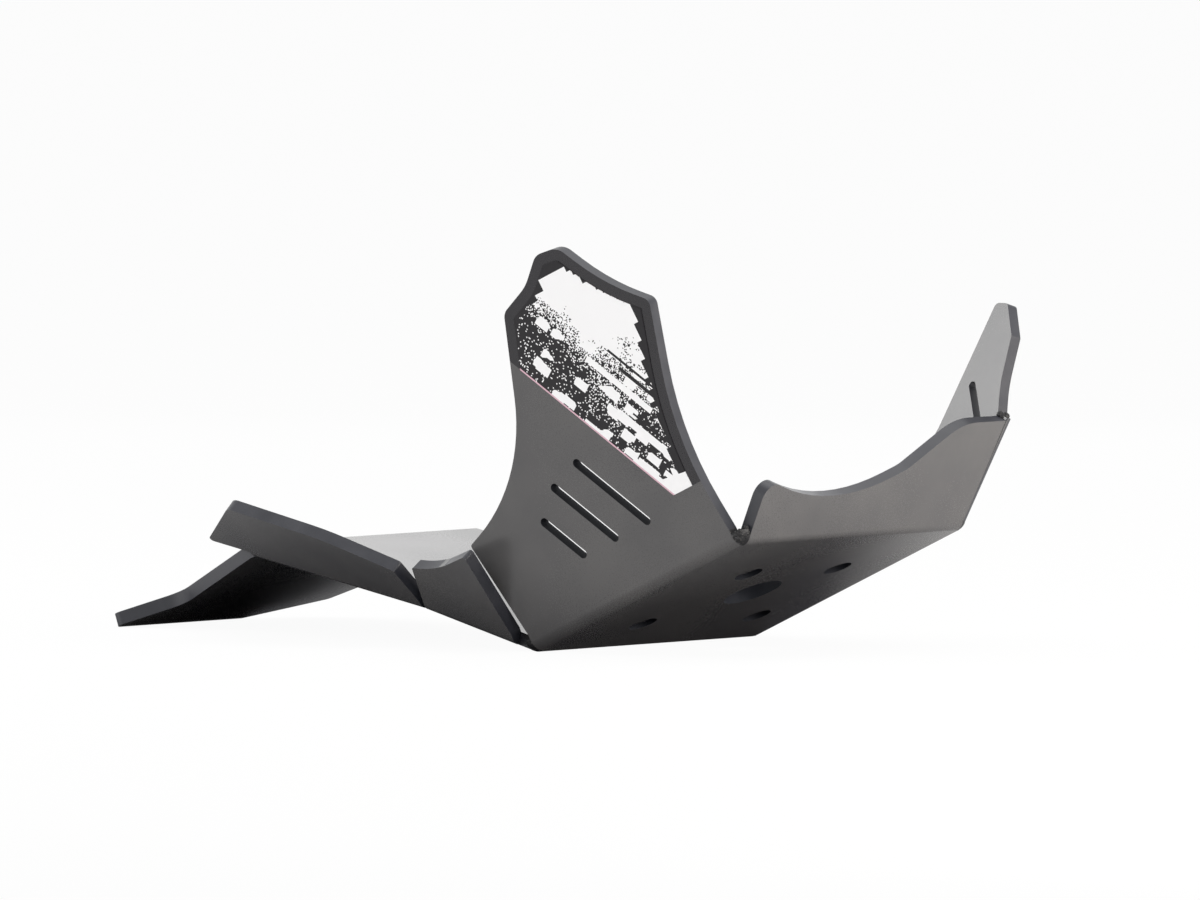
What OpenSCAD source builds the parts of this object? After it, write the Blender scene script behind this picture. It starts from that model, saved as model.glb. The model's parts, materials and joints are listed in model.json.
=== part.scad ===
// Motorcycle skid plate folded from one plastic sheet, with a vinyl decal on its right side wing.
// X runs forward, Y to the left and Z up. The origin is midway between the rear bolts,
// on the inner face of the floor, and the plate lies as it comes to rest on a flat surface.

/* [Sheet] */
// Thickness of the sheet
sheet_t = 8; // [6:0.5:10]

/* [Floor] */
// Length of the floor between its front and rear folds
floor_l = 171; // [150:1:200]
// Width of the floor between its side folds
floor_w = 206; // [180:1:240]

/* [Bolt holes] */
// Bore of the bolt holes
bolt_d = 6.6; // [5.5:0.1:9]
// Diameter of the recess for a bolt head, on the outer face
head_d = 18; // [14:0.5:20]
// Depth of the recess for a bolt head
head_h = 3; // [1:0.5:4]
// Distance of the rear bolts from the rear fold
rear_bolt_x = 37; // [25:1:50]
// Spacing of the rear bolts
rear_bolt_w = 110; // [90:1:140]
// Distance of the front bolts from the rear fold
front_bolt_x = 116; // [105:1:140]
// Spacing of the front bolts
front_bolt_w = 86; // [60:1:120]
// Sideways offset of the holes from the middle of the floor
bolt_shift = 7; // [-10:1:10]
// Diameter of the drain opening
drain_d = 37; // [25:1:45]
// Distance of the drain opening from the rear fold
drain_x = 82; // [75:1:85]

/* [Front panel] */
// Bend of the front panel up from the floor, in degrees
front_bend = 46; // [35:1:60]
// Height of the front panel at its right ear, along the panel
front_ear_h = 37.5; // [34:0.5:45]
// Height of the front panel at its left end, along the panel
front_end_h = 66.5; // [60:0.5:72]
// Width of the level top at the left end of the front panel
front_end_w = 43; // [35:1:48]
// Radius of the hollow in the top of the front panel
front_hollow_r = 160; // [110:1:165]

/* [Right wing] */
// Bend of the right wing up from the floor, in degrees
right_bend = 79; // [65:1:88]
// Height of the peak, along the wing
right_h = 204; // [198:1:225]
// Distance of the peak from the rear fold
right_peak_x = 145; // [138:1:150]
// Height of the front shoulder
right_front_h = 149; // [140:1:160]
// Reach of the front shoulder ahead of the floor
right_front_reach = 19.5; // [10:0.5:25]
// Height of the rear shoulder
right_back_h = 183; // [175:1:186]
// Distance of the rear shoulder from the rear fold
right_back_x = 88; // [80:1:95]
// Height of the heel at the rear fold
right_heel_h = 68; // [60:1:75]
// Radius of the rear sweep
right_sweep_r = 112; // [70:1:115]
// Width of a slot
slot_w = 5.5; // [4:0.5:8]
// Lean of the slots to the rear, in degrees
slot_lean = 30; // [15:1:35]
// Distance from one slot to the next
slot_pitch = 27; // [18:1:30]
// Height of the lower ends of the slots
slot_foot_h = 32; // [26:1:38]
// Distance of the foremost slot from the rear fold, at its lower end
slot_x = 118; // [105:1:125]
// Lengths of the slots between the centres of their ends, from the front
slot_l = [58, 50, 32]; // [20:1:65]

/* [Left wing] */
// Bend of the left wing up from the floor, in degrees
left_bend = 72; // [65:1:80]
// Height of the horn at its top
left_h = 123; // [116:1:130]
// Reach of the horn ahead of the floor
left_reach = 64.5; // [60:0.5:72]
// Length of the horn's blunt nose
left_nose_l = 26; // [20:1:32]
// Height of the waist behind the horn
left_waist_h = 44; // [40:1:55]
// Height of the heel at the rear fold
left_heel_h = 60; // [50:1:70]
// Height of the lower end of the foremost slot
left_slot_h = 48; // [44:1:55]
// Length of the foremost slot between the centres of its ends
left_slot_l = 30; // [20:1:34]

/* [Linkage guard] */
// Bend of the ramp up from the floor, in degrees
ramp_bend = 39; // [30:1:50]
// Length of the ramp
ramp_l = 88; // [75:1:100]
// Bend of the crest panel back down from the ramp, in degrees
crest_bend = 3.8; // [2:0.2:8]
// Length of the crest panel
crest_l = 137; // [120:1:160]
// Bend of the tail down from the crest panel, in degrees
tail_bend = 30.8; // [25:0.2:36]
// Length of the tail
tail_l = 150; // [135:1:165]
// Width of the guard from its right fold to its left edge
guard_w = 212; // [190:1:225]
// Width of the tail at its end
tail_end_w = 124; // [110:1:135]
// Distance of the tail's end from the right fold line of the guard
tail_end_y = 34; // [25:1:45]
// Distance of the tail's left corner from its end
tail_cut_l = 33; // [20:1:50]
// Inset of the tail's left corner from the guard's left edge
tail_cut_w = 8; // [2:1:15]
// Distance of the tail's right corner from its end
tail_neck_l = 46; // [35:1:60]

/* [Side flanges] */
// Bend of the ramp flange up from the ramp, in degrees
ramp_flange_bend = 51; // [40:1:60]
// Height of the ramp flange at its front
ramp_flange_h = 62; // [55:1:70]
// Height of the ramp flange at its rear
ramp_flange_low_h = 31.5; // [25:0.5:38]
// Distance of the ramp flange from the rear fold of the floor
ramp_flange_start = 13.5; // [8:0.5:20]
// Bend of the crest flange up from the crest panel, in degrees
crest_flange_bend = 42; // [35:1:55]
// Height of the crest flange at its front
crest_flange_low_h = 30.5; // [22:0.5:35]
// Height of the crest flange at its rear
crest_flange_h = 44.5; // [40:0.5:52]
// Reach of the crest flange behind the crest fold
crest_flange_reach = 33.5; // [20:0.5:45]

/* [Decal] */
// Thickness of the vinyl
decal_t = 0.4; // [0.2:0.1:0.8]
// Margin between the decal and the edge of the wing
decal_margin = 7; // [4:0.5:10]
// Distance of the decal's lower edge from the foremost slot
decal_gap = 26; // [12:1:30]
// Height of the decal's lower end
decal_low_h = 38; // [34:1:60]

/* [Hidden] */
$fn = 72;
// Largest turn between two points of a rounded corner or a fold
arc_step = 4;
// Length of floor that a side panel's fold shares, and how far its fold stops short of the corners
lap = 4;
fold_gap = 0.5;
// Reach of a cut past the sheet that it trims
past = 12;
// Depth by which a side flange is set into the faces of the panel that carries it, and the taper
// of its buried edge
seat = 0.05;
flange_taper = 1;
// Step between a fold's outer rounding and the faces or the cut that it meets
fold_step = 0.03;
// Radius of the welded corners, just under the outer radius of the folds
weld_r = sheet_t - 0.15;
// Weld along the mitred corner: its radius, its depth below the inner corner, the gap that it
// fills beside each panel, its length past the ends, and its reach into each panel, in degrees
seam_weld_r = sheet_t - 0.3;
seam_depth = 0.3;
seam_gap = 0.4;
seam_end = 1.2;
seam_root = 12;
right_y = floor_w / 2;
left_y = guard_w - right_y;
// Height of the right wing's shoulder, as a share of the way from its front corner to its peak
right_shoulder = 0.4;
// Shape of the right wing above its feet, from front to rear, as [x, height, corner radius]
right_corners = [
    [floor_l - 8, 68, 200],
    [floor_l + right_front_reach, right_front_h, 6],
    [right_peak_x + 20, right_front_h + right_shoulder * (right_h - right_front_h), 150],
    [right_peak_x, right_h - 1, 12],
    [right_peak_x - 17, right_h + 1, 10],
    [right_back_x + 23, right_back_h + 8, 30],
    [right_back_x, right_back_h, 8],
    [48, right_heel_h + 19, right_sweep_r],
    [-10, right_heel_h, 2]
];
// Shape of the left wing beyond the front panel in the same way, with its chin from the seam's top
left_chin = [4.5, 19, 80];
left_corners = [
    [floor_l + left_reach, left_h - left_nose_l, 4],
    [floor_l + left_reach, left_h - 4, 3],
    [floor_l + left_reach - 9, left_h, 4],
    [floor_l - 20, left_waist_h, 60],
    [-5, left_heel_h, 3]
];
left_slot_x = floor_l + 29.5;
left_slot_lean = 2;
// Top edge of the front panel from its right end, as [height, y, corner radius]
front_corners = [
    [-lap, -right_y - 0.5, 0],
    [front_ear_h, -right_y + 2.5, 10],
    [front_ear_h - 22.5, -32.5, front_hollow_r],
    [front_ear_h + 1, 33, 30]
];
front_end_r = 45;
// Bend in the tail's right edge: its distance in from the end, and its radius
tail_neck_w = 17.5;
tail_neck_r = 25;
tail_corner_r = 5;
// Top edges of the side flanges from front to rear, as [x, height, corner radius]
ramp_flange_end = ramp_l - 2.5;
ramp_flange_corners = [
    [-ramp_flange_start - 20, ramp_flange_h, 2],
    [-ramp_l + 23, ramp_flange_low_h + 6, 100]
];
crest_flange_corners = [
    [-7.5, crest_flange_low_h, 2],
    [-60, crest_flange_h - 3, 150],
    [-crest_l + 3, crest_flange_h, 8]
];
crest_flange_foot = 1;
flange_corner_r = 2;
// Direction of the welded seam in the plane of the left wing, and its turn between the panels
seam_angle = atan2(tan(front_bend), sin(left_bend));
seam_bend = acos(cos(front_bend) * cos(left_bend));
// Lean of the same seam in the plane of the front panel
seam_lean = atan2(sin(front_bend), tan(left_bend));
seam_l = front_end_h / cos(seam_lean);
// Slopes of the crest panel and the tail, up to the rear
crest_slope = ramp_bend - crest_bend;
tail_slope = crest_slope - tail_bend;
// Folds at the two ends of the crest panel, on its outer face, as [x, z]
crest_front = ramp_l * rearward(ramp_bend) + sheet_t * out_from(-ramp_bend);
crest_rear = crest_front + crest_l * rearward(crest_slope);
tail_tip = crest_rear + tail_l * rearward(tail_slope);
// Slope of the floor where the rear fold and the tail's end both touch the ground
rest_tilt = atan2(tail_tip[1], -tail_tip[0]) + asin(sheet_t / norm(tail_tip));

// Direction square to a panel turned up by an angle, from its inner to its outer face
function out_from(angle) = [sin(angle), -cos(angle)];

// Direction to the rear along a slope
function rearward(slope) = [-cos(slope), sin(slope)];

// Direction from one point to another, with a length of 1
function toward(a, b) = (b - a) / norm(b - a);

// Point at a distance past the end of the line from b to a
function beyond(a, b, distance) = a + toward(b, a) * distance;

// Points of the outer side of a fold about its inner line
function fold_arc(centre, from, to) =
    let (steps = max(1, ceil(abs(to - from) / arc_step)))
    [
        for (i = [0 : steps])
            centre + sheet_t * out_from(from + (to - from) * i / steps)
    ];

// Points of the corner [x, y, r] between two neighbours, rounded to its radius
function corner(before, here, after) =
    let (
        p = [here[0], here[1]],
        a = toward(p, [before[0], before[1]]),
        b = toward(p, [after[0], after[1]]),
        half = acos(a * b) / 2,
        middle = p + toward([0, 0], a + b) * here[2] / sin(half),
        first = p + a * here[2] / tan(half) - middle,
        start = atan2(first[1], first[0]),
        side = sign(a[0] * b[1] - a[1] * b[0]),
        turn = -side * (180 - 2 * half),
        steps = max(1, ceil(abs(turn) / arc_step))
    )
    here[2] == 0 ? [p] : [
        for (i = [0 : steps])
            middle + here[2] * [cos(start + turn * i / steps), sin(start + turn * i / steps)]
    ];

// Points of a closed outline given by its corners
function rounded(corners) =
    let (count = len(corners))
    [
        for (i = [0 : count - 1])
            each corner(corners[(i + count - 1) % count], corners[i], corners[(i + 1) % count])
    ];

// Side profile of the sheet, from the top of the front panel to the tip of the tail and back
module profile() {
    front_fold = [floor_l, 0];
    front_top = front_fold + (front_end_h + past) * [cos(front_bend), sin(front_bend)];
    polygon([
        front_top,
        front_fold,
        [0, 0],
        each fold_arc(crest_front, 180 - ramp_bend, 180 - crest_slope),
        each fold_arc(crest_rear, 180 - crest_slope, 180 - tail_slope),
        tail_tip + sheet_t * out_from(180 - tail_slope),
        tail_tip,
        crest_rear,
        crest_front,
        each fold_arc([0, 0], -ramp_bend, 0),
        each fold_arc(front_fold, 0, front_bend),
        front_top + sheet_t * out_from(front_bend)
    ]);
}

// Section of a side panel with its fold, across the fold and out along the panel
module side_section(bend, height, thick, taper) {
    across = [cos(bend), sin(bend)];
    polygon([
        [-lap, taper - thick],
        [-lap, -taper],
        [0, 0],
        height * across,
        height * across + thick * out_from(bend),
        each [for (p = fold_arc([0, 0], bend, 0)) p * (thick - fold_step) / sheet_t],
        [0, taper - thick]
    ]);
}

// Side panel bent up along the left edge of a panel and trimmed to its outline
module side_panel(bend, from, to, height, thick = sheet_t, taper = 0) {
    translate([0, right_y, 0]) intersection() {
        rotate([90, 0, 90]) translate([0, 0, from]) linear_extrude(to - from)
            side_section(bend, height, thick, taper);
        rotate([bend, 0, 0]) translate([0, 0, -2 * sheet_t]) linear_extrude(4 * sheet_t) children();
    }
}

// Frames of the panels in line with the floor, with X forward along each panel
module on_front() {
    translate([floor_l, 0, 0]) rotate([0, -front_bend, 0]) children();
}

module on_ramp() {
    rotate([0, ramp_bend, 0]) children();
}

module behind(length, bend) {
    translate([-length, 0, -sheet_t]) rotate([0, -bend, 0]) translate([0, 0, sheet_t]) children();
}

module on_crest() {
    on_ramp() behind(ramp_l, crest_bend) children();
}

module on_tail() {
    on_crest() behind(crest_l, tail_bend) children();
}

// Cut through a panel around an outline, over a rectangle from one point to another
module trim(from, to) {
    translate([0, 0, -2 * sheet_t]) linear_extrude(4 * sheet_t) difference() {
        translate(from) square(to - from);
        children();
    }
}

// Slot between two points given by its lower end, its length and its lean to the rear
module slot(x, low, length, lean) {
    translate([x, low]) rotate(lean) {
        translate([-slot_w / 2, 0]) square([slot_w, length]);
        circle(d = slot_w);
        translate([0, length]) circle(d = slot_w);
    }
}

module right_outline() {
    polygon(rounded([
        [fold_gap, -past, 0],
        [floor_l - fold_gap, -past, 0],
        [floor_l - fold_gap, lap, 0],
        each right_corners,
        [fold_gap, lap, 0]
    ]));
}

module left_outline() {
    seam = [cos(seam_angle), sin(seam_angle)];
    seam_low = [floor_l, 0] + seam_gap * [-seam[1], seam[0]];
    seam_foot = seam_low + seam_end * seam;
    seam_top = seam_low + seam_l * seam;
    polygon(rounded([
        [fold_gap, -past, 0],
        [floor_l - fold_gap, -past, 0],
        [floor_l - fold_gap, fold_gap, 0],
        [seam_foot[0], seam_foot[1], 0],
        [seam_top[0], seam_top[1], 0],
        [seam_top[0] + left_chin[0], seam_top[1] + left_chin[1], left_chin[2]],
        each left_corners,
        [fold_gap, lap, 0]
    ]));
}

module front_outline() {
    left_end = right_y + front_end_h * tan(seam_lean);
    gap = seam_gap / cos(seam_lean);
    polygon(rounded([
        each front_corners,
        [front_end_h, left_end - front_end_w, front_end_r],
        [front_end_h, left_end - gap, 0],
        [0, right_y - gap, 0],
        [-lap, right_y - gap, 0]
    ]));
}

module tail_outline() {
    end_y = tail_end_y - right_y;
    neck = [-tail_l + tail_neck_l, end_y + tail_neck_w];
    cut = [-tail_l + tail_cut_l, left_y - tail_cut_w];
    right_start = beyond([-lap, -right_y], neck, past);
    left_start = beyond([-lap, left_y], cut, past);
    polygon(rounded([
        [right_start[0], right_start[1], 0],
        [neck[0], neck[1], tail_neck_r],
        [-tail_l, end_y, tail_corner_r],
        [-tail_l, end_y + tail_end_w, tail_corner_r],
        [cut[0], cut[1], tail_corner_r],
        [left_start[0], left_start[1], 0]
    ]));
}

module ramp_flange_outline() {
    polygon(rounded([
        [-ramp_flange_start, -past, 0],
        [-ramp_flange_start, lap, 0],
        each ramp_flange_corners,
        [-ramp_flange_end, ramp_flange_low_h, flange_corner_r],
        [-ramp_flange_end, -past, 0]
    ]));
}

module crest_flange_outline() {
    polygon(rounded([
        [-fold_gap, -past, 0],
        [-fold_gap, lap, 0],
        each crest_flange_corners,
        [-crest_l - crest_flange_reach, crest_flange_foot, flange_corner_r],
        [-crest_l + fold_gap, crest_flange_foot, 0],
        [-crest_l + fold_gap, -past, 0]
    ]));
}

// Floor, front panel, ramp, crest panel and tail
module run() {
    wide = right_y + left_y + 2 * past;
    difference() {
        translate([0, wide - right_y, 0]) rotate([90, 0, 0]) linear_extrude(wide) profile();
        translate([-lap, right_y, -2 * sheet_t]) cube([floor_l + lap, wide, 4 * sheet_t]);
        translate([-2 * floor_l, left_y, -2 * sheet_t]) cube([2 * floor_l, wide, 2 * floor_l]);
        on_front() {
            translate([-past, right_y - fold_step, -past]) cube([past + lap / 4, wide, 2 * past]);
            trim([lap / 4, -2 * right_y], [front_end_h + 2 * past, 2 * right_y]) front_outline();
        }
        on_tail() trim([-tail_l - past, -2 * right_y], [-lap / 4, 2 * right_y]) tail_outline();
        translate([drain_x, bolt_shift, -2 * sheet_t]) cylinder(d = drain_d, h = 3 * sheet_t);
        bolt_pair(rear_bolt_x, rear_bolt_w);
        bolt_pair(front_bolt_x, front_bolt_w);
    }
}

module bolt_pair(x, spacing) {
    for (side = [-1, 1])
        translate([x, bolt_shift + side * spacing / 2, -sheet_t]) {
            translate([0, 0, -past]) cylinder(d = bolt_d, h = sheet_t + 2 * past);
            translate([0, 0, -past]) cylinder(d = head_d, h = head_h + past);
        }
}

module right_wing() {
    mirror([0, 1, 0]) side_panel(right_bend, -2 * past, floor_l + 4 * past, right_h + past)
        difference() {
            right_outline();
            for (i = [0 : len(slot_l) - 1])
                slot(slot_x - i * slot_pitch, slot_foot_h, slot_l[i], slot_lean);
        }
}

module left_wing() {
    side_panel(left_bend, -2 * past, floor_l + left_reach + past, left_h + past) difference() {
        left_outline();
        slot(left_slot_x, left_slot_h, left_slot_l, left_slot_lean);
    }
}

// Flange bent up along the right edge of the ramp or the crest panel
module side_flange(bend, length, height) {
    translate([0, 2 * seat, -seat]) mirror([0, 1, 0])
        side_panel(bend, -length - past, 0, height + past, sheet_t - 2 * seat, flange_taper) children();
}

module side_flanges() {
    on_ramp() side_flange(ramp_flange_bend, ramp_l, ramp_flange_h) ramp_flange_outline();
    on_crest() side_flange(crest_flange_bend, crest_l + crest_flange_reach, crest_flange_h)
        crest_flange_outline();
}

// Weld that closes the outer corner where folds meet
module corner_weld() {
    intersection() {
        sphere(weld_r);
        translate([-sheet_t, -sheet_t, -2 * sheet_t - seat]) cube(2 * sheet_t);
    }
}

// Weld along the mitred corner between the front panel and the left wing
module seam_weld() {
    translate([floor_l, right_y, 0]) rotate([left_bend, 0, 0]) rotate([0, 0, seam_angle])
        mirror([0, 1, 0]) rotate([90, 0, 90]) translate([0, 0, -seam_end])
            linear_extrude(seam_l + 2 * seam_end) intersection() {
                circle(seam_weld_r);
                polygon([
                    seam_depth * out_from(seam_bend / 2),
                    2 * sheet_t * out_from(-seam_root),
                    2 * sheet_t * out_from(seam_bend / 2),
                    2 * sheet_t * out_from(seam_bend + seam_root)
                ]);
            }
}

module plate() {
    color([0.13, 0.13, 0.14]) at_rest() {
        run();
        right_wing();
        left_wing();
        side_flanges();
        seam_weld();
        for (x = [0, floor_l], y = [-right_y, right_y])
            translate([x, y, 0]) corner_weld();
    }
}

// From the frame of the level floor to the plate at rest
module at_rest() {
    rotate([0, -rest_tilt, 0]) translate([-rear_bolt_x, -bolt_shift, 0]) children();
}

module decal() {
    color("white") at_rest() mirror([0, 1, 0]) translate([0, right_y, 0]) rotate([right_bend, 0, 0])
        translate([0, 0, -sheet_t - decal_t]) linear_extrude(decal_t) intersection() {
            offset(delta = -decal_margin) right_outline();
            translate([slot_x, slot_foot_h]) rotate(slot_lean)
                translate([decal_gap, -right_h]) square(2 * right_h);
            translate([0, decal_low_h]) square(2 * right_h);
        }
}

plate();
decal();
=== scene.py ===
import math
import random

import bmesh
import bpy
from mathutils import Matrix, Vector, noise
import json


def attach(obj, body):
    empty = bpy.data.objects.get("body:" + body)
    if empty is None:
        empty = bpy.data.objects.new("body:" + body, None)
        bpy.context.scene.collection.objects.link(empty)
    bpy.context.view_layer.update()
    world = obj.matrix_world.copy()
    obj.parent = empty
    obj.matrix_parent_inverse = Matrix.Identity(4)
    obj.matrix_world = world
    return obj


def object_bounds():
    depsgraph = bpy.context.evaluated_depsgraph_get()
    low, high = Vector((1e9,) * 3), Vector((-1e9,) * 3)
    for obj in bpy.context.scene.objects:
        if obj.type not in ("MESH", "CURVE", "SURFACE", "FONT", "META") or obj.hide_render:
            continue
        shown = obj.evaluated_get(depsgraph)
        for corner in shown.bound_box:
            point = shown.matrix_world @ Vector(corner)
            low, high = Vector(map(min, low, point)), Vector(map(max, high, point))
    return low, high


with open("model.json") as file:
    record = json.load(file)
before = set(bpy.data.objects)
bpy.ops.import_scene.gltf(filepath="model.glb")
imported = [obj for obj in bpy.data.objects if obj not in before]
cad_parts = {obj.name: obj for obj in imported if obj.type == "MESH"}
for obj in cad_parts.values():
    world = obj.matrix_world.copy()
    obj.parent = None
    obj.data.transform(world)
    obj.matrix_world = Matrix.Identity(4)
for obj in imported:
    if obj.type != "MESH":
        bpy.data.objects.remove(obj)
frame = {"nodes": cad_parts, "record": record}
CAD_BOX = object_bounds()

MM = 1000

# Sizes along the sheet, in metres, and its bends, as in the part's source
SHEET = 0.008
FLOOR_L = 0.171
HALF_W = 0.103
REAR_BOLT_X = 0.037
BOLT_SHIFT = 0.007
FRONT_END_H = 0.0665
RIGHT_BEND, LEFT_BEND, FRONT_BEND = (math.radians(a) for a in (79, 72, 46))
RAMP_SLOPE, CREST_SLOPE, TAIL_SLOPE = (math.radians(a) for a in (39, 35.2, 4.4))
RAMP_FLANGE_BEND, CREST_FLANGE_BEND = (math.radians(a) for a in (51, 42))

# The slope of the floor at rest, from the axis of its bolts
bolt_axis = Vector(frame["record"]["mounts"][0]["axis"])
TILT = Matrix.Rotation(math.atan2(bolt_axis.x, bolt_axis.z), 3, "Y")


def turned(direction):
    """A direction in the floor's frame, in the row frame."""
    return TILT @ Vector(direction)


def placed(x, y, z):
    """A point in the floor's frame, in the row frame."""
    return turned((x - REAR_BOLT_X, y - BOLT_SHIFT, z))


def linked(name, data):
    """A new object in the scene."""
    made = bpy.data.objects.new(name, data)
    bpy.context.scene.collection.objects.link(made)
    return made


# The right wing's foot at the rear fold, and its directions forward and up
RIGHT_U = turned((1, 0, 0))
RIGHT_V = turned((0, -math.cos(RIGHT_BEND), math.sin(RIGHT_BEND)))
RIGHT_OUT = turned((0, -math.sin(RIGHT_BEND), -math.cos(RIGHT_BEND)))
RIGHT_FOOT = placed(0, -HALF_W, 0)

# The lower end of its foremost slot, and the directions across and along the slots
SLOT_LEAN = math.radians(30)
SLOT_FOOT = RIGHT_FOOT + 0.118 * RIGHT_U + 0.032 * RIGHT_V
ACROSS_SLOTS = math.cos(SLOT_LEAN) * RIGHT_U + math.sin(SLOT_LEAN) * RIGHT_V
ALONG_SLOTS = math.cos(SLOT_LEAN) * RIGHT_V - math.sin(SLOT_LEAN) * RIGHT_U

# The slots as (distance ahead of the foremost one, length), and their width, in millimetres
SLOTS = ((0.0, 58.0), (-27.0, 50.0), (-54.0, 32.0))
SLOT_W = 5.5

# The decal's distance from the foremost slot, and the height of its lower end, in millimetres
DECAL_GAP, DECAL_LOW = 26.0, 38.0

# The seam between the front panel and the left wing, in the floor's frame
SEAM_LEAN = math.atan2(math.sin(FRONT_BEND), math.tan(LEFT_BEND))
UP_FRONT = Vector((math.cos(FRONT_BEND), 0, math.sin(FRONT_BEND)))
SEAM = Vector((0, math.tan(SEAM_LEAN), 0)) + UP_FRONT


# Materials ---------------------------------------------------------------------------------

# The middle of a noise's range
MIDDLE = (0.3, 0.7)
# How far under the sheet's outer face a mark on it still reaches, in millimetres
OUTER_FACE = 0.8


class Look:
    """A material's nodes, made one call at a time."""

    def __init__(self, name):
        self.material = bpy.data.materials.new(name)
        self.material.use_nodes = True
        self.tree = self.material.node_tree
        self.tree.nodes.clear()
        self.place = self.node("ShaderNodeTexCoord").outputs["Object"]

    def node(self, kind, values=None, **settings):
        made = self.tree.nodes.new(kind)
        for name, value in settings.items():
            setattr(made, name, value)
        for name, value in (values or {}).items():
            self.put(made.inputs[name], value)
        return made

    def put(self, socket, value):
        if isinstance(value, bpy.types.NodeSocket):
            self.tree.links.new(value, socket)
        else:
            socket.default_value = value

    def math(self, operation, a, b=0.0):
        return self.node("ShaderNodeMath", {0: a, 1: b}, operation=operation).outputs[0]

    def over(self, value, limit):
        return self.math("GREATER_THAN", value, limit)

    def under(self, value, limit):
        return self.math("LESS_THAN", value, limit)

    def product(self, first, *others):
        for other in others:
            first = self.math("MULTIPLY", first, other)
        return first

    def without(self, share, hole):
        """A share of the surface less another."""
        return self.product(share, self.math("SUBTRACT", 1.0, hole))

    def combined(self, x, y, z=0.0):
        return self.node("ShaderNodeCombineXYZ", {"X": x, "Y": y, "Z": z}).outputs[0]

    def along(self, direction, start):
        """Distance along a direction from a point, in millimetres."""
        scaled = self.node(
            "ShaderNodeVectorMath", {0: self.place, 1: direction * MM}, operation="DOT_PRODUCT"
        )
        return self.math("ADD", scaled.outputs["Value"], -MM * start.dot(direction))

    def noise(self, scale, detail=3.0, roughness=0.55, vector=None, distortion=0.0):
        made = self.node(
            "ShaderNodeTexNoise",
            {
                "Vector": vector or self.place,
                "Scale": scale,
                "Detail": detail,
                "Roughness": roughness,
                "Distortion": distortion,
            },
        )
        return made.outputs["Fac"]

    def stretched(self, direction_a, direction_b, by_a, by_b):
        """Coordinates for streaks that run along one direction of a face."""
        origin = Vector((0, 0, 0))
        a, b = self.along(direction_a, origin), self.along(direction_b, origin)
        return self.combined(self.product(a, by_a), self.product(b, by_b))

    def ramp(self, value, low, high, to_low=0.0, to_high=1.0):
        made = self.node(
            "ShaderNodeMapRange", {"Value": value, 1: low, 2: high, 3: to_low, 4: to_high}
        )
        return made.outputs[0]

    def mix(self, share, a, b):
        made = self.node("ShaderNodeMix", {0: share, 6: a, 7: b}, data_type="RGBA")
        return made.outputs[2]

    def bump(self, height, strength, distance, below=None):
        values = {"Height": height, "Strength": strength, "Distance": distance}
        if below is not None:
            values["Normal"] = below
        return self.node("ShaderNodeBump", values).outputs[0]

    def finish(self, **values):
        shader = self.node(
            "ShaderNodeBsdfPrincipled",
            {name.replace("_", " "): value for name, value in values.items()},
        )
        self.node("ShaderNodeOutputMaterial", {"Surface": shader.outputs[0]})
        return self.material


def print_border(look):
    """The print's black border, round the white field on the wing's outer face."""
    return look.product(
        look.over(look.along(RIGHT_OUT, RIGHT_FOOT), MM * SHEET - OUTER_FACE),
        look.over(look.along(ACROSS_SLOTS, SLOT_FOOT), DECAL_GAP),
        look.over(look.along(RIGHT_V, RIGHT_FOOT), DECAL_LOW),
    )


def seam_line(look):
    """A dark line painted on the front panel, beside the seam with the left wing."""
    corner = placed(FLOOR_L, HALF_W, 0)
    front_out = turned((math.sin(FRONT_BEND), 0, -math.cos(FRONT_BEND)))
    height = look.along(turned(UP_FRONT), corner)
    beside = look.along(turned(SEAM.normalized()).cross(front_out), corner)
    # The line's distance from the inner corner at the seam's foot and at its top
    at_foot, at_top = 1.6, -1.7
    middle = look.ramp(height, 0.0, MM * FRONT_END_H, at_foot, at_top)
    from_line = look.math("ABSOLUTE", look.math("SUBTRACT", beside, middle))
    return look.product(
        look.ramp(from_line, 0.35, 0.75, 1.0, 0.0),
        look.over(look.along(front_out, corner), MM * SHEET - OUTER_FACE),
        look.over(height, 2.0),
    )


def sheet_face():
    """Satin black polyethylene: faint mottling, fine grain and hairline scratches."""
    look = Look("sheet_face")
    mottle = look.noise(scale=22, detail=4)
    grain = look.noise(scale=1500, detail=2)
    cloud = look.noise(scale=7, detail=2)
    hair = look.noise(
        scale=1.0,
        detail=5,
        roughness=0.7,
        vector=look.stretched(RIGHT_U, RIGHT_V, 0.012, 1.1),
        distortion=0.6,
    )
    hair_across = look.noise(
        scale=1.0,
        detail=5,
        roughness=0.7,
        vector=look.stretched(Vector((0, 1, 0)), RIGHT_U, 0.010, 0.9),
        distortion=0.8,
    )
    scratch = look.math(
        "MAXIMUM", look.ramp(hair, 0.66, 0.72), look.ramp(hair_across, 0.68, 0.74)
    )
    dark, pale, worn = (0.068, 0.067, 0.069, 1), (0.087, 0.085, 0.085, 1), (0.10, 0.10, 0.105, 1)
    plain = look.mix(look.ramp(mottle, *MIDDLE), dark, pale)
    plain = look.mix(look.product(scratch, 0.25), plain, worn)
    # A dark line painted beside the seam with the left wing
    plain = look.mix(look.product(seam_line(look), 0.85), plain, (0.008, 0.008, 0.010, 1))
    colour = look.mix(print_border(look), plain, (0.012, 0.011, 0.014, 1))
    rough = look.ramp(cloud, *MIDDLE, 0.23, 0.30)
    rough = look.math("ADD", rough, look.ramp(grain, *MIDDLE, -0.02, 0.02))
    normal = look.bump(grain, strength=0.03, distance=0.0002)
    normal = look.bump(scratch, strength=0.10, distance=0.0001, below=normal)
    return look.finish(Base_Color=colour, Roughness=rough, Normal=normal, IOR=1.5)


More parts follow.
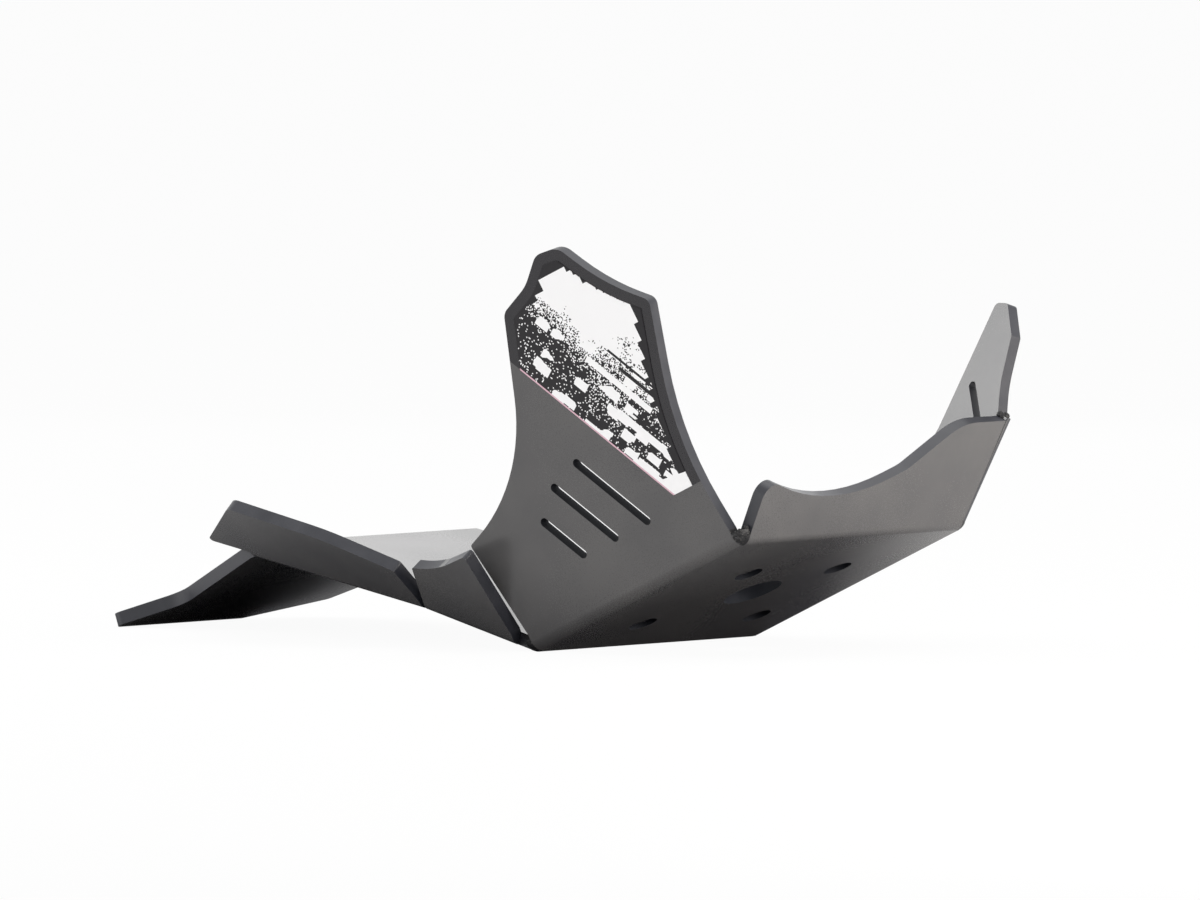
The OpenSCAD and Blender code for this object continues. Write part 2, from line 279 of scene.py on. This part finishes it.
def cut_edge():
    """The sawn and scraped edge of the sheet, with fine lines from the cutter."""
    look = Look("cut_edge")
    lines = look.noise(
        scale=1.0, detail=2, roughness=0.6, vector=look.stretched(RIGHT_U, RIGHT_V, 1.4, 1.4)
    )
    mottle = look.noise(scale=60, detail=3)
    dark, pale = (0.015, 0.016, 0.022, 1), (0.024, 0.025, 0.032, 1)
    return look.finish(
        Base_Color=look.mix(look.ramp(mottle, *MIDDLE), dark, pale),
        Roughness=look.ramp(mottle, *MIDDLE, 0.34, 0.48),
        Normal=look.bump(lines, strength=0.25, distance=0.0002),
        IOR=1.5,
    )


def milled_wall_painted_shade():
    """The matt walls that the cutter left in the slots and the floor's holes, painted near-black
    as the shade inside them.
    """
    look = Look("milled_slot_painted_shade")
    lines = look.noise(
        scale=1.0,
        detail=2,
        roughness=0.6,
        vector=look.stretched(ALONG_SLOTS, ACROSS_SLOTS, 1.8, 0.2),
    )
    mottle = look.noise(scale=90, detail=3)
    # Near-black colours: painted shade for the inside of the slots and holes
    dark, pale = (0.006, 0.007, 0.010, 1), (0.013, 0.014, 0.018, 1)
    return look.finish(
        Base_Color=look.mix(look.ramp(mottle, *MIDDLE), dark, pale),
        Roughness=0.65,
        Normal=look.bump(lines, strength=0.3, distance=0.0002),
        IOR=1.2,
    )


def weld_bead():
    """Rough dark weld of the same plastic, with small bright burrs."""
    look = Look("weld_bead")
    lump = look.noise(scale=700, detail=3)
    burr = look.ramp(look.noise(scale=900, detail=2), 0.68, 0.71)
    dark, pale, bright = (0.004, 0.004, 0.005, 1), (0.013, 0.013, 0.014, 1), (0.40, 0.38, 0.35, 1)
    colour = look.mix(look.ramp(lump, 0.35, 0.7), dark, pale)
    return look.finish(
        Base_Color=look.mix(look.product(burr, 0.5), colour, bright),
        Roughness=0.45,
        Normal=look.bump(lump, strength=0.8, distance=0.0006),
        IOR=1.4,
    )


def edge_samples(node):
    """Points along the edges of a mesh, as (distance forward, height) on the right wing, in mm."""
    mesh = node.data
    parts = 8
    samples = []
    for edge in mesh.edges:
        a, b = (mesh.vertices[i].co for i in edge.vertices)
        for i in range(parts + 1):
            at = a.lerp(b, i / parts) - RIGHT_FOOT
            samples.append((MM * at.dot(RIGHT_U), MM * at.dot(RIGHT_V)))
    return samples


# Bars of the print as (nearest, furthest) across the slots and (lowest, highest) along them, in mm
WHITE_BARS = (
    (44, 49, -40, 46), (33, 36.5, -60, 4), (60, 64, 30, 84), (26, 30, -90, 26), (26, 29, 52, 66),
)
BLACK_BARS = ((70, 72.4, 10, 62), (75, 76.6, 22, 74), (52, 53.2, -24, 40))


def printed_vinyl(node):
    """White vinyl with a broken black rim, a speckled dark mass with shards, and slanted bars."""
    look = Look("printed_vinyl")
    u = look.along(RIGHT_U, RIGHT_FOOT)
    v = look.along(RIGHT_V, RIGHT_FOOT)
    p = look.along(ACROSS_SLOTS, SLOT_FOOT)
    q = look.along(ALONG_SLOTS, SLOT_FOOT)

    def cell(value, size):
        """The number of the cell that a value falls in."""
        return look.math("FLOOR", look.math("DIVIDE", value, size))

    def rate(a, b, size, seed):
        """A random number for each square cell of the surface."""
        made = look.node(
            "ShaderNodeTexWhiteNoise",
            {"Vector": look.combined(cell(a, size), cell(b, size), seed)},
            noise_dimensions="3D",
        )
        return made.outputs["Value"]

    samples = edge_samples(node)
    u_low, u_high = min(s[0] for s in samples), max(s[0] for s in samples)
    v_low, v_high = min(s[1] for s in samples), max(s[1] for s in samples)

    def edge_curve(value, index, low, high, other_low, other_high, steps=24):
        """The decal's furthest point along one direction, as a curve over the other."""
        made = look.node("ShaderNodeFloatCurve", {"Value": look.ramp(value, low, high)})
        curve = made.mapping.curves[0]
        found = []
        for i in range(steps + 1):
            centre = low + (high - low) * i / steps
            near = [s[1 - index] for s in samples if abs(s[index] - centre) < (high - low) / steps]
            if near:
                found.append((i / steps, (max(near) - other_low) / (other_high - other_low)))
        curve.points[0].location, curve.points[1].location = found[0], found[-1]
        for at in found[1:-1]:
            curve.points.new(*at)
        for point in curve.points:
            point.handle_type = "VECTOR"
        made.mapping.update()
        return look.ramp(made.outputs[0], 0, 1, other_low, other_high)

    # The broken rim, in square steps inside the front and top edges
    step = 3.6
    u_step, v_step = look.product(cell(u, step), step), look.product(cell(v, step), step)
    front = edge_curve(v_step, 1, v_low, v_high, u_low, u_high)
    top = edge_curve(u_step, 0, u_low, u_high, v_low, v_high)
    rim_w = look.math("ADD", 2.2, look.product(rate(u, v, step, seed=3.0), 3.4))

    def rim_inside(at, edge):
        return look.over(at, look.math("SUBTRACT", look.math("SUBTRACT", edge, step), rim_w))

    rim = look.math("MAXIMUM", rim_inside(u_step, front), rim_inside(v_step, top))

    # The speckled mass, thickest along the lower edge and thinning out upwards
    drift = look.math("SUBTRACT", look.noise(scale=26, detail=2), 0.5)
    reach = look.math("ADD", p, look.product(drift, 60.0))
    thin = look.ramp(reach, 46.0, 84.0, 0.92, 0.0)
    speckle = look.under(rate(p, q, 0.75, seed=7.0), thin)

    # Plain shards in it
    shards = look.node(
        "ShaderNodeTexVoronoi",
        {"Vector": look.combined(look.product(p, 1.5), q), "Scale": 0.085},
        feature="F1",
        distance="CHEBYCHEV",
        voronoi_dimensions="2D",
    )
    number = look.node("ShaderNodeSeparateColor", {"Color": shards.outputs["Color"]}).outputs[0]
    shard = look.product(look.over(number, 0.62), look.under(shards.outputs["Distance"], 0.42))
    dark = look.without(speckle, shard)

    def bar(p_low, p_high, q_low, q_high):
        return look.product(
            look.over(p, p_low), look.under(p, p_high), look.over(q, q_low), look.under(q, q_high)
        )

    for limits in WHITE_BARS:
        dark = look.without(dark, bar(*limits))
    for limits in BLACK_BARS:
        dark = look.math("MAXIMUM", dark, bar(*limits))
    dark = look.math("MAXIMUM", dark, rim)

    # A plain white foot, and the thin pale pink line along the print's lower edge
    foot = look.math("ADD", v, look.product(p, 0.15))
    dark = look.product(dark, look.over(foot, DECAL_LOW + 16))
    colour = look.mix(dark, (0.82, 0.82, 0.83, 1), (0.008, 0.007, 0.009, 1))
    colour = look.mix(look.under(p, DECAL_GAP + 1.0), colour, (0.62, 0.40, 0.47, 1))
    wave = look.noise(scale=35, detail=2)
    return look.finish(
        Base_Color=colour,
        Roughness=look.ramp(wave, *MIDDLE, 0.30, 0.38),
        Normal=look.bump(wave, strength=0.08, distance=0.0005),
        IOR=1.4,
    )


# The sheet ---------------------------------------------------------------------------------

FACE, EDGE, WELD, MILLED_SHADE = range(4)


def out_from(angle):
    return (math.sin(angle), -math.cos(angle))


def panel_normals():
    """Outer directions of the panels, and the pairs of them that a fold joins."""
    def in_line(angle):
        x, z = out_from(angle)
        return turned((x, 0, z))

    def side(slope, bend, way):
        y, z = out_from(bend)
        run = Matrix.Rotation(slope, 3, "Y")
        return turned(run @ Vector((0, way * y, z)))

    floor, front = in_line(0), in_line(FRONT_BEND)
    ramp, crest, tail = in_line(-RAMP_SLOPE), in_line(-CREST_SLOPE), in_line(-TAIL_SLOPE)
    right, left = side(0, RIGHT_BEND, -1), side(0, LEFT_BEND, 1)
    ramp_side = side(RAMP_SLOPE, RAMP_FLANGE_BEND, -1)
    crest_side = side(CREST_SLOPE, CREST_FLANGE_BEND, -1)
    panels = [floor, front, ramp, crest, tail, right, left, ramp_side, crest_side]
    folds = [
        (floor, front), (floor, ramp), (ramp, crest), (crest, tail),
        (floor, right), (floor, left), (ramp, ramp_side), (crest, crest_side),
    ]
    return panels, folds


def is_face(normal, panels, folds):
    """Whether a facet belongs to a panel's broad side or to a fold, and not to a cut edge."""
    parallel, slack = 0.9996, 0.01
    if any(abs(normal.dot(n)) > parallel for n in panels):
        return True
    for a, b in folds:
        axis = a.cross(b).normalized()
        for outer in (normal, -normal):
            spread = outer.angle(a) + outer.angle(b)
            if abs(outer.dot(axis)) < slack and spread < a.angle(b) + slack:
                return True
    return False


def in_slot(point):
    """Whether a point lies on the wall of one of the right wing's slots."""
    slack = 0.3
    offset = MM * (point - SLOT_FOOT)
    for forward, length in SLOTS:
        from_slot = offset - forward * RIGHT_U
        p, q = from_slot.dot(ACROSS_SLOTS), from_slot.dot(ALONG_SLOTS)
        if abs(p) < 0.5 * SLOT_W + slack and -SLOT_W < q < length + SLOT_W:
            return abs(offset.dot(RIGHT_U.cross(RIGHT_V))) < 1.5 * MM * SHEET
    return False


def in_floor(point):
    """Whether a point lies in the floor, away from its borders, as its holes' walls do."""
    border = 0.015
    x, y, z = TILT.transposed() @ point + Vector((REAR_BOLT_X, BOLT_SHIFT, 0))
    return border < x < FLOOR_L - border and abs(y) < HALF_W - border and abs(z) < 1.5 * SHEET


def dress_sheet(node, materials):
    panels, folds = panel_normals()
    mesh = node.data
    mesh.materials.clear()
    for material in materials:
        mesh.materials.append(material)
    corners = [placed(x, y, 0) for x in (0, FLOOR_L) for y in (-HALF_W, HALF_W)]
    weld_reach = SHEET * 1.05
    for polygon in mesh.polygons:
        polygon.use_smooth = True
        centre = polygon.center
        if is_face(polygon.normal, panels, folds):
            polygon.material_index = FACE
        # Slot and hole walls get the milled look, whose dark colour is painted shade
        elif in_slot(centre) or in_floor(centre):
            polygon.material_index = MILLED_SHADE
        elif min((centre - corner).length for corner in corners) < weld_reach:
            polygon.material_index = WELD
        else:
            polygon.material_index = EDGE
    if "custom_normal" in mesh.attributes:
        mesh.attributes.remove(mesh.attributes["custom_normal"])
    weld = node.modifiers.new("weld", "WELD")
    weld.merge_threshold = 0.00004
    flat = node.modifiers.new("flat", "DECIMATE")
    flat.decimate_type = "DISSOLVE"
    flat.angle_limit = math.radians(0.4)
    flat.delimit = {"MATERIAL"}
    bevel = node.modifiers.new("scraped", "BEVEL")
    bevel.width = 0.0008
    bevel.segments = 3
    bevel.limit_method = "ANGLE"
    bevel.angle_limit = math.radians(30)
    bevel.harden_normals = True


WELD_LOOK = weld_bead()
dress_sheet(frame["nodes"]["plate"], (sheet_face(), cut_edge(), WELD_LOOK, milled_wall_painted_shade()))

decal = frame["nodes"]["decal"]
decal.data.materials.clear()
decal.data.materials.append(printed_vinyl(decal))


# Welds -------------------------------------------------------------------------------------


def weld_lumps(name, spots, shift):
    """Lumps of weld at the given places, each (centre, radius), in one mesh."""
    roughness, scale = 0.35, 1.7
    mesh = bmesh.new()
    for centre, radius in spots:
        ball = bmesh.ops.create_icosphere(mesh, subdivisions=3, radius=1.0)
        for vertex in ball["verts"]:
            at = vertex.co * scale + Vector((shift, 7 * radius, 0))
            vertex.co = centre + vertex.co * radius * (1 + roughness * noise.noise(at))
    data = bpy.data.meshes.new(name)
    mesh.to_mesh(data)
    mesh.free()
    for polygon in data.polygons:
        polygon.use_smooth = True
    data.materials.append(WELD_LOOK)
    made = linked(name, data)
    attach(made, "root")


random.seed(11)

# Front right corner, over the corner weld of the part
notch = []
for _ in range(18):
    turn = math.radians(random.uniform(-80, -10))
    down = math.radians(random.uniform(-52, 6))
    reach = SHEET * random.uniform(0.80, 0.90)
    centre = placed(
        FLOOR_L + reach * math.cos(turn) * math.cos(down),
        -HALF_W + reach * math.sin(turn) * math.cos(down),
        reach * math.sin(down),
    )
    notch.append((centre, random.uniform(0.0010, 0.0019)))
weld_lumps("notch_weld", notch, 2.0)

# Top end of the seam between the front panel and the left wing
seam_top = Vector((FLOOR_L, HALF_W, 0)) + SEAM * FRONT_END_H + Vector((0.002, 0.001, -0.001))
top_end = []
for _ in range(6):
    spot = seam_top + Vector((
        0.0012 * random.uniform(-1, 1),
        0.0030 * random.uniform(-1, 1),
        0.0018 * random.uniform(-1, 1),
    ))
    top_end.append((placed(*spot), random.uniform(0.0014, 0.0023)))
weld_lumps("seam_weld_end", top_end, 5.0)


# Studio ------------------------------------------------------------------------------------

AZIMUTH, ELEVATION = math.radians(39), math.radians(3)
VIEW_W = 0.727
DISTANCE = 20.0
SENSOR = 36.0

right = Vector((math.cos(AZIMUTH), math.sin(AZIMUTH), 0))
back = Vector((
    math.sin(AZIMUTH) * math.cos(ELEVATION),
    -math.cos(AZIMUTH) * math.cos(ELEVATION),
    math.sin(ELEVATION),
))
up = back.cross(right)
target = -0.0580 * right + 0.0955 * up

camera_data = bpy.data.cameras.new("camera")
camera_data.sensor_width = SENSOR
camera_data.lens = SENSOR * DISTANCE / VIEW_W
camera_data.clip_start = 1.0
camera_data.clip_end = 300.0
camera = linked("camera", camera_data)
camera.location = target + back * DISTANCE
camera.rotation_euler = back.to_track_quat("Z", "Y").to_euler()

scene = bpy.context.scene
scene.camera = camera
scene.view_settings.view_transform = "Standard"


def studio_floor(height):
    """White to the camera, and in the lamps' light a pale floor with a painted dark patch of shade
    under the part.
    """
    half = 60.0
    data = bpy.data.meshes.new("floor")
    corners = [(x * half, y * half, height) for x, y in ((-1, -1), (1, -1), (1, 1), (-1, 1))]
    data.from_pydata(corners, [], [(0, 1, 2, 3)])
    made = linked("floor", data)
    look = Look("floor")
    # The painted shade's middle in metres, and its half length and half width in millimetres
    middle = Vector((-0.14, 0.02, height))
    half_l, half_w = 290.0, 160.0
    across = look.combined(
        look.math("DIVIDE", look.along(Vector((1, 0, 0)), middle), half_l),
        look.math("DIVIDE", look.along(Vector((0, 1, 0)), middle), half_w),
    )
    distance = look.node("ShaderNodeVectorMath", {0: across}, operation="LENGTH").outputs["Value"]
    beyond_painted_shade = look.ramp(distance, 0.85, 1.45)
    seen = look.node("ShaderNodeLightPath").outputs["Is Camera Ray"]
    # The dark colour is painted shade under the part; the camera sees the pale one instead
    dark, pale = (0.05, 0.05, 0.06, 1), (0.78, 0.78, 0.78, 1)
    colour = look.mix(look.math("MAXIMUM", beyond_painted_shade, seen), dark, pale)
    lit = look.node("ShaderNodeBsdfDiffuse", {"Color": colour})
    white = look.node("ShaderNodeEmission", {"Strength": 1.0})
    mixed = look.node(
        "ShaderNodeMixShader",
        {0: look.product(seen, 0.95), 1: lit.outputs[0], 2: white.outputs[0]},
    )
    look.node("ShaderNodeOutputMaterial", {"Surface": mixed.outputs[0]})
    data.materials.append(look.material)


studio_floor(CAD_BOX[0][2] - 0.0002)


def white_world(lighting, seen_level):
    """A white world, weaker as a light than where the camera or a reflection sees it."""
    world = bpy.data.worlds.new("world")
    scene.world = world
    world.use_nodes = True
    tree = world.node_tree
    path = tree.nodes.new("ShaderNodeLightPath")
    seen = tree.nodes.new("ShaderNodeMath")
    seen.operation = "MAXIMUM"
    tree.links.new(path.outputs["Is Camera Ray"], seen.inputs[0])
    tree.links.new(path.outputs["Is Glossy Ray"], seen.inputs[1])
    level = tree.nodes.new("ShaderNodeMapRange")
    level.inputs[3].default_value = lighting
    level.inputs[4].default_value = seen_level
    tree.links.new(seen.outputs[0], level.inputs["Value"])
    background = tree.nodes["Background"]
    tree.links.new(level.outputs[0], background.inputs["Strength"])
    background.inputs["Color"].default_value = (1, 1, 1, 1)


white_world(lighting=0.55, seen_level=1.0)


def softbox(name, place, aim, size, power, colour=(1, 1, 1)):
    data = bpy.data.lights.new(name, "AREA")
    data.color = colour
    data.shape = "RECTANGLE"
    data.size, data.size_y = size
    data.energy = power
    made = linked(name, data)
    made.location = place
    made.rotation_euler = (Vector(place) - Vector(aim)).to_track_quat("Z", "Y").to_euler()


softbox("softbox_top", (0.3, 0.4, 2.4), (0, 0, 0), (2.0, 2.0), 26)
softbox("softbox_left", (-1.90, -1.15, 0.80), (0, 0, 0.05), (1.3, 1.3), 30)
softbox("softbox_front", (2.1, -0.85, 0.3), (0, 0, 0.05), (1.4, 1.2), 28, (1, 0.96, 0.92))
softbox("softbox_low", (1.7, 0.45, 0.44), (0.15, 0, 0.03), (0.9, 0.5), 27, (1, 0.94, 0.88))
softbox("softbox_back", (-1.45, 1.95, 0.85), (0, 0, 0.0), (1.6, 1.2), 4)
